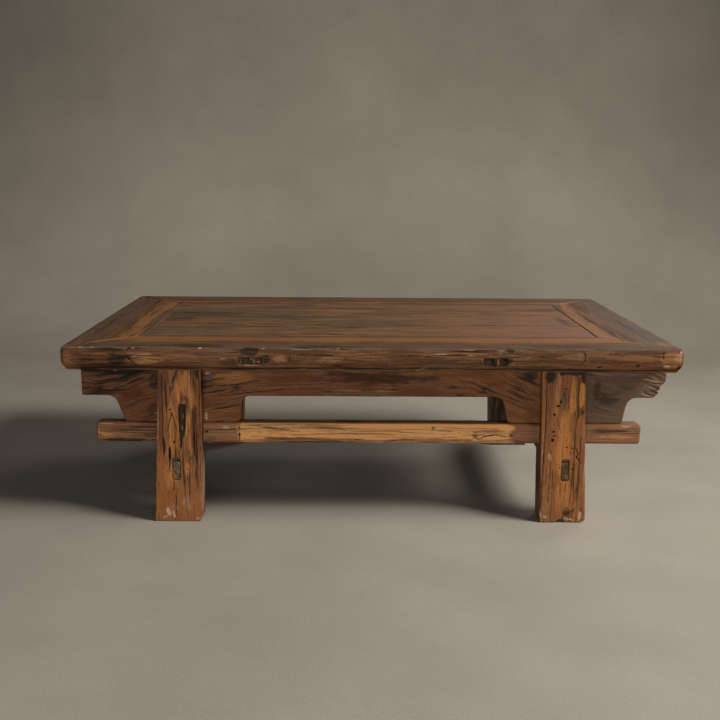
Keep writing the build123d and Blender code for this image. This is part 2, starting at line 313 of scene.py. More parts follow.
    def finish(self):
        # nothing worn or swollen stands out past the table's own box
        low, high = (np.array(list(corner)) for corner in cadBox)
        self.at = np.clip(self.at, low, high)
        self.mesh.vertices.foreach_set("co", self.at.ravel())
        for name, values in self.layers.items():
            layer = self.mesh.attributes.new(name, "FLOAT", "POINT")
            layer.data.foreach_set("value", values.astype(np.float32))
        self.mesh.shade_smooth()
        self.mesh.update()


class Wire:
    # a node's socket that can be added, multiplied and so on

    def __init__(self, shader, socket):
        self.shader, self.socket = shader, socket

    def math(self, operation, first, second=0, clamped=False):
        return self.shader.make("Math", {"operation": operation, "use_clamp": clamped},
                                {0: first, 1: second})

    def __add__(self, other):
        return self.math("ADD", self, other)

    __radd__ = __add__

    def __sub__(self, other):
        return self.math("SUBTRACT", self, other)

    def __rsub__(self, other):
        return self.math("SUBTRACT", other, self)

    def __mul__(self, other):
        return self.math("MULTIPLY", self, other)

    __rmul__ = __mul__

    def size(self):
        return self.math("ABSOLUTE", self)

    def clamped(self):
        return self.math("ADD", self, 0, clamped=True)

    def rise(self, low, high):
        # 0 at low, 1 at high, smooth between
        return self.shader.make("MapRange", {"interpolation_type": "SMOOTHSTEP"},
                                {"Value": self, "From Min": low, "From Max": high})


class Shader:
    def __init__(self, name):
        self.material = bpy.data.materials.new(name)
        self.material.use_nodes = True
        self.tree = self.material.node_tree
        self.tree.nodes.clear()

    def make(self, kind, settings=None, values=None, out=0):
        node = self.tree.nodes.new("ShaderNode" + kind)
        for key, value in (settings or {}).items():
            if key == "stops":
                for number, (place, colour) in enumerate(value):
                    if number > 1:
                        node.color_ramp.elements.new(place)
                    stop = node.color_ramp.elements[number]
                    stop.position, stop.color = place, (*colour, 1)
            else:
                setattr(node, key, value)
        for key, value in (values or {}).items():
            if isinstance(value, Wire):
                self.tree.links.new(value.socket, node.inputs[key])
            elif isinstance(value, tuple) and len(value) == 3 and node.inputs[key].type == "RGBA":
                node.inputs[key].default_value = (*value, 1)
            else:
                node.inputs[key].default_value = value
        return Wire(self, node.outputs[out]) if len(node.outputs) else None

    def places(self):
        # an object's own coordinates, whole and by axis
        whole = self.make("TexCoord", out="Object")
        split = self.make("SeparateXYZ", None, {0: whole}).socket.node
        return whole, [Wire(self, socket) for socket in split.outputs]

    def layer(self, name):
        return self.make("Attribute", {"attribute_name": name}, out="Fac")

    def mix(self, mask, below, above):
        return self.make("Mix", {"data_type": "RGBA", "clamp_factor": True}, {0: mask, 6: below, 7: above}, 2)

    def noise(self, place, scale, detail=2, rough=0.55):
        values = {"Vector": place, "Scale": scale, "Detail": detail, "Roughness": rough}
        return self.make("TexNoise", None, values)

    def surface(self, **values):
        shade = self.make("BsdfPrincipled", None, values)
        self.make("OutputMaterial", None, {"Surface": shade})
        return self.material


def agedWood(name, look):
    # look: the way the grain runs, the tones of the wood, and how strong its figure is
    s = Shader(name)
    axes = dict(zip("XYZ", s.places()[1]))
    along, across, deep = (axes[name] for name in look["grain"])
    drift = s.layer("drift")

    def stretched(lengthwise, crosswise, shift=0):
        return s.make("CombineXYZ", None,
                      {0: along * lengthwise + shift, 1: (across + drift) * crosswise, 2: deep * crosswise})

    # growth rings: bands of a smooth noise that is nearly constant along the grain
    bend = s.noise(stretched(look["bendLength"], look["bendWidth"], look["seed"]), 1, 2) - 0.5
    ring = (across + drift) * look["rings"] + deep * look["rings"] * 0.6 + bend * look["bend"] * look["rings"]
    band = s.make("TexNoise", {"noise_dimensions": "1D"},
                  {"W": ring + look["seed"], "Scale": 1, "Detail": 2, "Roughness": 0.6})
    growth = (band - 0.5).size().rise(0.045, 0) * look["lines"]
    streak = s.noise(stretched(4.5, 120, look["seed"] + 3), 1, 3, 0.62)
    fibre = s.noise(stretched(17, 420, look["seed"] + 7), 1, 3, 0.68)
    cloud = s.noise(stretched(10, 30, look["seed"] + 11), 1, 3, 0.6)
    speck = s.noise(stretched(180, 460, look["seed"] + 13), 1, 2, 0.6)

    tone = (band - 0.5) * look["figure"] + (streak - 0.5) * look["streaks"] + (fibre - 0.5) * look["fibres"]
    tone = tone + (cloud - 0.5) * look["clouds"] + s.layer("tone") + 0.5
    wood = tone - growth

    def ramp(tones):
        dark, base, light = (tuple(part / 1000 for part in tone) for tone in tones)
        return s.make("ValToRGB", {"stops": ((0.14, dark), (0.86, light), (0.5, base))}, {0: wood})

    glow = s.layer("glow")
    colour = ramp(look["tones"])
    crust = (cloud * 0.5 + streak * 0.5 + (speck - 0.5) * 0.25).rise(0.47, 0.56) * look["age"] * (1 - glow)
    colour = s.mix(crust.clamped(), colour, ramp(look["crust"]))

    def paint(below, layer, tones, strength=1, torn=0.5):
        # a layer with the grain still showing through, its edge torn along the fibres
        amount = s.layer(layer)
        mask = (amount + (streak + fibre - 1) * torn * amount).rise(0.14, 0.8) * strength
        return s.mix(mask.clamped(), below, ramp(tones))

    colour = paint(colour, "glow", look["glow"])
    colour = paint(colour, "red", look["reddened"], 0.95)
    colour = paint(colour, "grey", look["greyed"], 0.95)
    colour = paint(colour, "burnt", look["burnt"], 0.97)
    wear = s.layer("worn") * (0.25 + speck * 1.5)
    colour = s.mix(wear.rise(0.35, 0.95) * look["edges"], colour, look["edgeTone"])
    dirt = s.layer("grime") * (0.6 + cloud)
    colour = s.mix(dirt.rise(0.1, 0.8) * 0.9, colour, (0.006, 0.004, 0.003))
    pore = (speck + (fibre - 0.5) * 0.8).rise(0.4, 0.28) * look["pores"]
    colour = s.mix(pore, colour, (0.012, 0.005, 0.003))
    colour = paint(colour, "pale", look["bare"], 1, 0.9)
    colour = s.mix(s.layer("line").rise(0.15, 0.7) * 0.96, colour, (0.005, 0.003, 0.002))

    height = wood * 0.8 + fibre * 0.5 - pore * 0.5
    bump = s.make("Bump", None, {"Strength": look["relief"], "Distance": 0.0011, "Height": height})
    gloss = (look["roughness"] + (cloud - 0.5) * 0.3 + (fibre - 0.5) * 0.2 + s.layer("pale") * 0.15
             - s.layer("worn") * 0.06)
    return s.surface(**{"Base Color": colour, "Roughness": gloss.clamped(), "Normal": bump,
                        "Specular IOR Level": look["sheen"]})


# every finish starts from this one; a tone's three colours are its dark, its middle and its light, in
# thousandths of full light
plainLook = dict(
    grain="XZY", rings=80, bend=0.03, bendLength=3, bendWidth=9, seed=1, figure=1.1, streaks=1.15, fibres=0.9,
    clouds=0.7, lines=0.12, age=0.75, pores=0.6, edges=0.6, relief=0.6, roughness=0.6, sheen=0.08,
    tones=((20, 7, 2), (115, 45, 15), (330, 150, 52)),
    crust=((10, 5, 2), (45, 20, 8), (150, 75, 33)),
    glow=((60, 17, 4), (230, 83, 19), (500, 226, 63)),
    greyed=((24, 15, 9), (82, 48, 28), (200, 130, 85)),
    reddened=((14, 4, 2), (65, 19, 7), (190, 70, 30)),
    burnt=((5, 3, 1), (16, 8, 4), (80, 45, 24)),
    bare=((110, 55, 30), (330, 200, 128), (580, 420, 310)),
    edgeTone=(0.23, 0.11, 0.05))
looks = {
    "edgeWood": dict(
        seed=2, figure=0.75, streaks=1.2, clouds=0.9,
        tones=((18, 6, 2), (108, 44, 17), (290, 138, 60)),
        glow=((50, 16, 5), (185, 78, 26), (400, 205, 85))),
    "endWood": dict(
        seed=5, grain="YZX", streaks=1.5,
        glow=((45, 14, 4), (190, 82, 30), (420, 210, 90))),
    "panelWood": dict(
        seed=8, grain="XYZ", figure=1.2, rings=60, bend=0.02, edges=0.2, streaks=1.9, fibres=1.3, clouds=1.3,
        age=0.6,
        tones=((28, 13, 6), (135, 70, 33), (330, 185, 98)),
        crust=((20, 13, 7), (75, 44, 23), (190, 120, 70)),
        reddened=((46, 20, 10), (185, 85, 45), (360, 190, 112)),
        greyed=((18, 13, 8), (58, 41, 25), (150, 108, 70)),
        glow=((50, 18, 6), (225, 98, 36), (420, 205, 85))),
    "apronWood": dict(
        seed=11, figure=0.6, rings=95, lines=0.1, age=0.4, clouds=1.5, streaks=0.7, fibres=0.75, pores=0.4,
        tones=((24, 8, 3), (116, 42, 15), (290, 125, 50))),
    "railWood": dict(
        seed=14, age=0.25, roughness=0.5, pores=0.25, lines=0.06, figure=0.9,
        tones=((36, 14, 6), (165, 72, 32), (360, 185, 90)),
        reddened=((30, 10, 4), (135, 55, 23), (330, 160, 75)),
        glow=((120, 40, 10), (400, 182, 60), (660, 380, 155))),
    "legWood": dict(
        seed=17, grain="ZXY", rings=105, bend=0.018, age=0.14, roughness=0.5, streaks=0.62, figure=0.75,
        clouds=0.9, fibres=0.85, lines=0.1, pores=0.45,
        tones=((32, 9, 2), (188, 65, 19), (410, 178, 64)),
        reddened=((22, 6, 2), (98, 31, 11), (250, 100, 42)),
        glow=((120, 31, 6), (345, 120, 29), (620, 290, 90))),
    "tenonWood": dict(
        seed=20, grain="YXZ", age=0.4,
        tones=((16, 9, 5), (85, 49, 25), (260, 170, 95))),
}
finishes = {name: agedWood(name, {**plainLook, **look}) for name, look in looks.items()}
print("finishes", len(finishes))

coarser = 1.0


def wornPiece(node, slot, finish, marks, seed, grid, grain="long", fine=0, rub=1.5, dents=0.3):
    # marks is a function, or the dictionary of the piece's front
    data = gridded(node, grid * coarser, fine)
    data.materials.append(finishes[finish])
    piece = placed(node + "_worn", data)
    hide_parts(node)
    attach(piece, "root")
    skin = Skin(data, grain, seed)
    skin.wear(rub)
    skin.season()
    if callable(marks):
        marks(skin)
    elif marks:
        skin.dress("front", marks)
    skin.roll(dents)
    skin.finish()
    print(node, len(data.polygons), "faces")


def dressFront(skin, look):
    # the front's own marks in place of chance ones
    clear(skin, "front", "glow", "burnt")
    skin.dress("front", look)


def clear(skin, facing, *names):
    # takes chance marks off a side that has its own
    faces = skin.on(facing, 0.2)[2]
    for name in names:
        skin.layers[name] *= 1 - 0.8 * faces


topRim = dict(
    # how far the light band's two sides lie from the edge at three places along it, and its strength
    sides={"left": ((73, 70, 71), (101, 92, 103), 0.9), "right": ((72, 86, 74), (113, 112, 95), 1),
           "front": ((56, 58, 60), (95, 97, 99), 1), "rear": ((74, 77, 68), (99, 98, 97), 0.7)},
    half=(485, 300), mitre=(13, 2), joint=110,
    # the dark outer rim and the front band's lightest line, from the edge, and how high dirt fills the joint
    greyFrom=66, greyFull=44, brightLine=77, brim=299.8)


def topRing(skin, shade=0.62):
    # the worn band inside the top's dark rim, with light mitres and a brighter line in its front side
    clear(skin, "top", "glow", "burnt", "grime")
    x, y, z = skin.start.T / mm
    long, wide = topRim["half"]
    away = {"left": long + x, "right": long - x, "front": wide + y, "rear": wide - y}
    place = {"left": y / 185, "right": y / 185, "front": x / 380, "rear": x / 380}
    up = skin.normal[:, 2] > 0.5
    torn = 4 * skin.streaky + 3.5 * skin.torn
    patchy = 0.8 + 0.4 * softNoise(skin.start, 60, 3)
    past, within = {}, {}
    for side, (outer, inner, amount) in topRim["sides"].items():
        outer, inner = (np.interp(place[side], (-1, 0, 1), stops) for stops in (outer, inner))
        past[side] = fade(away[side] + torn, outer - 5, outer + 4)
        within[side] = fade(away[side] + torn, inner - 5, inner + 6)
    for side, (outer, inner, amount) in topRim["sides"].items():
        others = np.prod([past[name] for name in past if name != side], axis=0)
        skin.add(up * past[side] * (1 - within[side]) * others * patchy, glow=amount)
    rim = np.min(list(away.values()), axis=0)
    greyed = fade(rim + torn, topRim["greyFrom"], topRim["greyFull"])
    skin.add(up * greyed * (0.68 + 0.35 * softNoise(skin.start, (70, 40, 40), 5)), grey=1)
    skin.add(up * np.prod(list(within.values()), axis=0), grey=shade, tone=0.06)
    fromMitre = np.abs(np.minimum(away["left"], away["right"]) - np.minimum(away["front"], away["rear"]))
    mitred = fade(fromMitre + torn, *topRim["mitre"]) * fade(rim, 20, 60) * fade(rim, 100, 84)
    skin.add(up * mitred, glow=0.8)

    # the front band is the lightest, and the rim's grey wears off towards it
    bright = np.abs(away["front"] - topRim["brightLine"]) + 2 * skin.torn
    skin.add(up * fade(bright, 8, 2) * fade(x, -380, -60) * fade(x, 395, 382), glow=1, tone=0.17)
    banded = past["front"] * (1 - within["front"])
    skin.add(up * banded * fade(x, -420, -330) * fade(x, 430, 360), tone=0.09)
    warm = up * fade(away["front"] + torn, 30, 44) * fade(away["front"] + torn, 66, 58)
    skin.layers["grey"] *= 1 - 0.85 * warm
    skin.add(warm * patchy, glow=0.45, tone=0.1)

    # old dirt and oil fill the joint with the panel up to the top, so that it hardly shows
    fromJoint = np.abs(rim - topRim["joint"])
    brim = fade(fromJoint, 1.6, 0.9) * (skin.start[:, 2] > 295.5 * mm)
    skin.at[:, 2] += brim * (topRim["brim"] * mm - skin.at[:, 2])
    filled = up * fade(fromJoint, 5, 2.5)
    skin.at += (0.9 * filled)[:, None] * (skin.start - skin.at)
    for name in ("worn", "grime"):
        skin.layers[name] *= 1 - filled


frontEdgeMarks = dict(
    bands=dict(
        tone=[(-486, 0), (-462, -3), (-445, -16), (-385, -12), (-372, -2), (-300, 0), (-180, -2), (-90, 0),
            (0, 0), (220, -5), (330, -4), (440, 4), (462, 20), (486, 36)],
        red=[(-466, 0), (-452, 85), (-440, 50), (-400, 60), (-378, 0), (-330, 0), (-300, 35), (-205, 45),
            (-150, 10), (200, 10), (340, 25), (450, 0)]),
    patches=dict(
        glow=[(35, -473, 281, 12, 18), (70, -424, 286, 19, 6, 3), (80, -352, 281, 26, 11),
            (40, -300, 285, 40, 5), (80, -144, 283, 14, 7), (60, -70, 281, 22, 5.5), (70, 173, 283, 6, 4),
            (45, 412, 286, 34, 6), (100, 466, 284, 20, 16)],
        pale=[(25, -472, 286, 13, 1.4, 22), (50, -397, 286, 3, 1.2, 30), (50, -388, 281, 2.6, 1.1, -40),
            (30, -356, 287, 20, 4.5), (70, -232, 282, 7, 1.2), (40, -101, 284, 1.2, 7), (40, 27, 275, 4, 4),
            (50, 75, 266.5, 13, 1.3, 20), (55, 108, 291, 11, 2), (50, 149, 290, 8, 2), (50, 197, 293, 8, 1.8),
            (25, 321, 289, 3, 6), (45, 475, 288, 10, 8), (60, 458, 274, 5, 2.4)],
        red=[(90, -452, 282, 7, 18), (60, -300, 272, 60, 5), (50, 20, 276, 70, 6), (50, 398, 276, 48, 8)],
        burnt=[(80, -396, 282, 17, 12, -8), (70, -410, 295, 30, 4), (80, -371, 298, 13, 2.4),
            (60, -222, 274, 24, 7), (100, -189, 292, 18, 8), (95, -203, 281, 6, 10), (85, -166, 281, 7, 10),
            (80, -129, 283, 1.8, 8), (85, -55, 272, 9, 2), (100, 195, 281, 20, 8), (95, 213, 296, 7, 4),
            (70, 353, 272, 6, 3), (40, 348, 284, 18, 9), (80, 412, 274, 4, 3), (90, 478, 270, 4, 3.5)],
        grey=[(80, -234, 295, 24, 3.8), (40, 120, 272, 34, 7)]),
    flakes=dict(
        pale=[(80, -453, 298.6, 2.6, 1), (80, -434, 298.6, 2.6, 1), (70, -371, 298, 5, 0.9),
            (70, -268, 298, 3, 1.6), (50, -348, 298, 4, 1), (35, -112, 297, 22, 1), (45, 150, 297.5, 7, 1.2),
            # the flakes at x 480 and 483, on the right end's top corner and down its arris, are painted
            # highlights
            (50, 197, 297, 7, 1.2), (32, 276, 297.5, 17, 0.8), (70, 480, 296, 5, 1.6),
            (60, 483, 284, 1.5, 10)]),
    knots=[(-392, 282, 5), (-43, 283, 2.4), (412, 274, 3)],
    cracks=[(1.5, (-389, 296), (-380, 284), (-372, 274), (-360, 269)),
        (1.3, (-370, 285), (-354, 286), (-318, 285)), (1.2, (-350, 281), (-328, 279)),
        (1.3, (-382, 292), (-378, 298)), (1.1, (-120, 289), (-60, 288)),
        (1.8, (322, 301), (329, 291), (329, 282), (321, 273)), (1.1, (366, 291), (377, 293), (390, 287)),
        (1.1, (364, 277), (377, 274), (391, 279)), (1.4, (451, 299), (452, 283)),
        (1.3, (449, 278), (466, 276), (484, 274)), (1.1, (228, 287), (300, 289)), (1, (40, 289), (96, 286))],
    # the groove under the bullnose is cut and darkened as painted shade in the crease above the lip
    grooves=[(1.4, (-500, 267.3), (-200, 267), (0, 267.2), (240, 267), (500, 266.6))],
    holes=[(27, 275, 1.5)])


def frontEdge(skin):
    topRing(skin)
    dressFront(skin, frontEdgeMarks)
    # the front arris of the top, chipped to bare wood here and there
    x, y, z = skin.start.T / mm
    near = fade(y, -291, -297) * fade(z, 295, 298)
    chips = near * fade(skin.crumbly + 0.8 * softNoise(skin.start, 26, 12), 0.75, 1.05)
    skin.add(chips, pale=0.5)
    skin.sink(0.5 * chips)
    # a thin painted highlight along the lip's face under the bullnose
    skin.spot("front", 10, 264.6, 470, 1.3, tilt=0.1, pale=0.22)


# the ends of the battens: the left one speckled pale round its wedge, the right one shrunk from it
leftTenonMarks = dict(patches=dict(
    burnt=[(60, -183, 280, 30, 20), (100, -194, 281, 3, 9)],
    pale=[(50, -186, 282, 5, 3), (40, -177, 277, 4, 2)],
    grey=[(80, -172, 283, 3, 2)]))
rightTenonMarks = dict(patches=dict(
    burnt=[(80, 195, 281, 40, 20), (90, 187, 281, 9, 7), (100, 203, 281, 2.6, 7)],
    tone=[(-12, 195, 281, 40, 20)],
    glow=[(80, 198, 283, 2.6, 4)],
    grey=[(50, 209, 281, 3, 5)]))
# worn light along its outer edge
rightEndMarks = dict(patches=dict(
    glow=[(90, 466, -250, 9, 60), (80, 462, -60, 8, 34), (70, 470, 120, 6, 40), (60, 448, -150, 5, 50)]))


def rightEnd(skin):
    topRing(skin)
    skin.dress("top", rightEndMarks)


panelMarks = dict(
    bands=dict(
        tone=[(-380, -6), (-200, 0), (0, 3), (150, 6), (380, 10)],
        red=[(-380, 0), (20, 10), (150, 45), (380, 60)]),
    patches=dict(
        grey=[(60, -330, 40, 90, 60), (60, -150, 20, 170, 22), (55, 30, 60, 110, 16), (60, 160, 100, 180, 9),
            (70, 325, 112, 70, 16), (60, 352, -20, 12, 70), (50, -300, -110, 110, 14),
            (50, -20, -90, 100, 9)],
        red=[(60, -270, 150, 90, 20), (60, -60, 100, 110, 20)],
        glow=[(45, -100, 172, 180, 10), (50, -120, -150, 170, 22), (40, 120, -120, 180, 30),
            (40, 60, 0, 80, 14)],
        pale=[(50, 349, -70, 5, 5)]),
    cracks=[(1.2, (-250, -60), (-120, -63), (40, -60)), (1.2, (80, 40), (200, 37), (330, 40)),
        (1.1, (-330, 90), (-180, 93))])
# chance streaks along its grain: amount, noise, and where they start and are full
panelStreaks = {"glow": (0.6, (1.6, 12, 1.5), 0.2, 0.8), "burnt": (0.45, (1.7, 13, 1.5), 0.3, 0.9),
                "grey": (0.6, (1.2, 15, 1.6), 0.25, 0.85), "pale": (0.3, (0.7, 14, 1.2), 0.4, 0.8)}


def panelTop(skin):
    topRing(skin, 0)
    skin.dress("top", panelMarks)
    up = skin.normal[:, 2] > 0.5
    for layer, (amount, noise, low, high) in panelStreaks.items():
        skin.add(up * fade(skin.along(*noise), low, high), **{layer: amount})
    skin.add(up * skin.along(0.8, 16, 1.2), tone=0.07)


leftLegMarks = dict(
    patches=dict(
        red=[(40, -322, 175, 22, 60), (85, -331, 240, 8, 24), (85, -303, 208, 6.5, 7), (95, -283, 150, 9, 52),
            (85, -341, 190, 5, 90), (50, -302, 118, 8, 10), (45, -281, 72, 7, 34)],
        tone=[(8, -318, 160, 18, 60), (16, -306, 28, 40, 46), (-13, -284, 150, 11, 62),
            (-5, -322, 160, 12, 40)],
        glow=[(70, -322, 160, 12, 52), (100, -297, 229, 14, 28), (95, -288, 206, 5.5, 18),
            (80, -313, 214, 7, 26), (75, -296, 150, 4.5, 45), (70, -297.5, 88, 7, 14),
            (40, -330, 78, 13, 30)],
        burnt=[(75, -315, 246, 20, 2.8, 72), (60, -322, 222, 9, 2.2, 70), (70, -280, 254, 5, 16),
            (40, -289, 140, 3, 30), (75, -336, 128, 3, 18), (60, -290, 108, 2, 16), (40, -279, 210, 3, 40)],
        pale=[(35, -322, 218, 4, 1.6, 70), (35, -317, 246, 3, 1.3, 70), (30, -325, 22, 16, 12),
            (32, -300, 32, 14, 18)],
        grey=[(30, -312, 8, 30, 8)]),
    flakes=dict(
        pale=[(95, -331.5, 17, 3, 8, 12), (80, -323.5, 12, 1.6, 7, 10), (45, -338, 8, 7, 2.2, 30),
            (50, -282, 6, 5, 3), (50, -273.5, 150, 1.5, 24), (45, -345, 200, 1.3, 60)]),
    cracks=[(1.4, (-327, 112), (-328, 96), (-331, 82)), (1.3, (-322.6, 72), (-323, 49)),
        (1.4, (-319, 52), (-320, 20), (-321, 0)), (1.1, (-313, 120), (-311, 108)),
        (1.5, (-330, 150), (-327, 170), (-323, 184), (-318, 168), (-313, 148)), (1, (-300, 92), (-299, 62)),
        (1.1, (-287, 185), (-288, 110)), (1, (-296, 100), (-297, 30))],
    grooves=[(1.3, (-337, 270), (-337, 190), (-338, 90)),
        (1.3, (-278, 270), (-277, 170), (-277.5, 80), (-276, -6)), (1, (-282, 255), (-283, 205))],
    holes=[(-320, 135, 1.9), (-325, 189, 1.7)])
# the rotted slot over the through tenon: its middle and half width at some heights
decaySlot = dict(heights=(121, 140, 152, 197), middle=(-309.5, -308.2, -306.6, -305.4),
                 half=(0.4, 2.8, 5.2, 6.2), top=(199, 196.5), bottom=(118, 123), deep=3.6)


def frontLeftLeg(skin):
    dressFront(skin, leftLegMarks)
    x, z, faces = skin.on("front", 0.2)
    middle, half = (np.interp(z, decaySlot["heights"], decaySlot[key]) for key in ("middle", "half"))
    slot = faces * fade(np.abs(x + 0.6 * skin.crumbly - middle) / half, 1.1, 0.8)
    slot = slot * fade(z, *decaySlot["top"]) * fade(z, *decaySlot["bottom"])
    skin.add(slot, burnt=1, line=0.3)
    skin.sink(decaySlot["deep"] * slot, "front")
    skin.crack("front", [(-310.5, 194), (-310.8, 170), (-310, 140)], 1, 0.8, 0.4, line=0.8)
    skin.crack("front", [(-302, 194), (-302, 160)], 0.9, 0.6, 0.4, line=0.7)
    skin.spot("front", -305, 178, 1.3, 10, 2, ragged=0.9, pale=0.8)
    skin.spot("front", -306.5, 160, 1, 7, 2, ragged=0.9, pale=0.6)
    skin.spot("front", -327.5, 114, 13, 2.4, 88, 2, ragged=0.3, soft=0.4, line=0.9)
    # painted light and shade on the leg's right side: lighter low down, where the lamp from the right reaches
    # under the rail, darker higher up under the top
    skin.spot("right", -230, 62, 32, 95, soft=0.9, pale=0.6)
    skin.spot("right", -230, 190, 32, 60, soft=0.8, burnt=0.5)
    skin.shove((-272, -252, 0), 9, (-5, 4, 4))


rightLegMarks = dict(
    patches=dict(
        glow=[(50, 313, 128, 18, 84), (100, 325, 216, 6, 34), (100, 338, 218, 6, 20), (45, 318, 50, 24, 44),
            (50, 300, 212, 5, 40)],
        burnt=[(90, 322, 254, 30, 6), (95, 286, 247, 11, 12), (90, 344, 246, 9, 12), (35, 288, 205, 6, 50),
            (40, 341, 190, 4, 12), (50, 336, 50, 5, 16), (45, 322, 18, 12, 9)],
        pale=[(45, 300, 232, 3.6, 26), (32, 310, 150, 8, 4), (25, 343, 150, 3, 30)],
        grey=[(65, 309, 207, 7.5, 20), (30, 305, 20, 28, 14)],
        red=[(45, 288, 150, 7, 60), (35, 341, 120, 9, 66)],
        tone=[(5, 340, 130, 10, 60)]),
    flakes=dict(
        pale=[(85, 276, 14, 3.6, 9), (75, 287.5, 10, 3.6, 3.5), (80, 329, 6, 9, 1.6, -12),
            (60, 345, 12, 3, 8), (50, 350, 90, 1.5, 26), (45, 278, 120, 1.4, 30), (40, 349, 200, 1.4, 26),
            (50, 292, 112, 3, 6, 10)]),
    knots=[(341, 188, 5), (323, 17, 7)],
    cracks=[(1.2, (334, 247), (334, 178)), (1.1, (303, 226.5), (317, 227)), (1.7, (310, 223), (308, 214)),
        (1, (317, 226), (317, 192)), (2, (329.5, 133), (337, 118), (334, 113), (345, 99)),
        (1.3, (318, 70), (318.6, 52)), (1, (300, 100), (308, 100)), (1.1, (328, 101), (335, 98)),
        (1, (296, 96), (297, 40)), (1, (290, 80), (291, 30)), (1.1, (300, 178), (308, 150)),
        (1.2, (322, 12), (334, 24), (330, 8))],
    grooves=[(1.3, (281.5, 270), (281.5, 160), (280, 60), (279, -6))],
    holes=[(305, 205, 1.7, 1.6, 75), (301, 198, 1.8, 1.6, 20), (295, 184, 1.9, 1.2, 90),
        (295, 155, 1.9, 1.3, 0), (296, 148, 1.6, 1.2, 0), (294, 141, 2.5, 1.2, 60), (318, 129, 1.5),
        (326.5, 127.5, 1.4), (307.6, 94, 1.2), (328, 92, 1.3)])
# the worn notch under the foot, and how far up the wood over it is pressed
footNotch = dict(x=312.5, half=9, high=5.6, over=16)


def frontRightLeg(skin):
    dressFront(skin, rightLegMarks)
    x, y, z = skin.at.T / mm
    lift = footNotch["high"] * np.clip(1 - ((x - footNotch["x"]) / footNotch["half"]) ** 2, 0, 1)
    skin.at[:, 2] += lift * mm * np.clip(1 - z / (footNotch["over"] + lift), 0, 1)
    # painted shade on the leg's left side, which faces away from the lamp
    skin.spot("left", -230, 90, 34, 130, soft=0.9, burnt=0.5)
    skin.shove((353, -253, 0), 6, (-2, 2, 2))
    skin.shove((273, -253, 0), 8, (3, 3, 3))


railMarks = dict(
    bands=dict(
        glow=[(-444, 10), (-400, 0), (-282, 5), (-218, 30), (-212, 95), (60, 90), (190, 100), (226, 70),
            (238, 5), (275, 5), (350, 15), (440, 20)],
        red=[(-444, 40), (-400, 75), (-280, 70), (-225, 40), (-212, 0), (228, 0), (240, 85), (272, 80),
            (360, 20), (440, 10)]),
    patches=dict(
        glow=[(75, -430, 147, 16, 5), (40, 406, 145, 36, 5)],
        pale=[(45, -430, 163, 15, 1.6), (50, -236, 158, 9, 4), (35, -10, 158, 90, 2.4),
            (30, 110, 150, 50, 2.6), (36, 201, 142, 20, 2.6), (50, 417, 162, 12, 2)],
        burnt=[(75, -400, 136, 46, 4), (55, -370, 158, 50, 4), (30, 256, 150, 16, 14),
            (60, -90, 133, 90, 2.6), (40, 150, 138, 24, 3)],
        tone=[(-6, -400, 149, 50, 18), (10, -60, 157, 190, 6), (6, 0, 145, 200, 12)],
        red=[(85, -110, 136, 120, 6), (70, 80, 136, 110, 5), (50, -20, 148, 90, 2.4), (60, 300, 150, 30, 16),
            (60, 190, 153, 34, 4)]),
    flakes=dict(
        grey=[(90, -263, 137, 11, 4)],
        pale=[(55, 60, 133.5, 26, 1.8), (55, 130, 133, 20, 1.8), (50, 10, 134, 12, 1.4),
            (45, 380, 133, 24, 1.6), (50, -443, 150, 1.6, 8)]),
    knots=[(169, 145, 4.5), (228, 146.5, 4), (100, 158, 3)],
    cracks=[(1.4, (-202, 163), (-165, 157), (-116, 150.5)), (1.1, (150, 151), (169, 145), (190, 150)),
        (1.1, (169, 145), (176, 136)), (0.9, (-40, 137), (-10, 138.5)), (0.9, (10, 136), (70, 138)),
        (2.2, (172, 138), (184, 144), (202, 147.5), (224, 143)), (1.2, (-215.5, 164), (-215, 133)),
        (1.1, (-330, 155), (-285, 153)), (1.1, (370, 155), (436, 153))],
    flows=[((-190, 150), (-120, 146), (-40, 148), (60, 145)),
        ((-120, 158), (-30, 154), (90, 155), (150, 150)), ((-60, 151), (30, 152), (120, 147)),
        ((0, 143), (80, 141), (150, 143)), ((-200, 143), (-130, 140), (-60, 141)),
        ((-430, 155), (-380, 152), (-310, 154)), ((-420, 141), (-350, 143)),
        ((360, 158), (400, 156), (438, 157)), ((352, 150), (400, 152), (436, 150)), ((356, 140), (410, 141)),
        ((100, 160), (160, 157), (215, 158))],
    holes=[(-215.5, 156.6, 1.8), (-215.5, 145, 2.1), (-268, 150, 1.8)])


def frontRail(skin):
    dressFront(skin, railMarks)


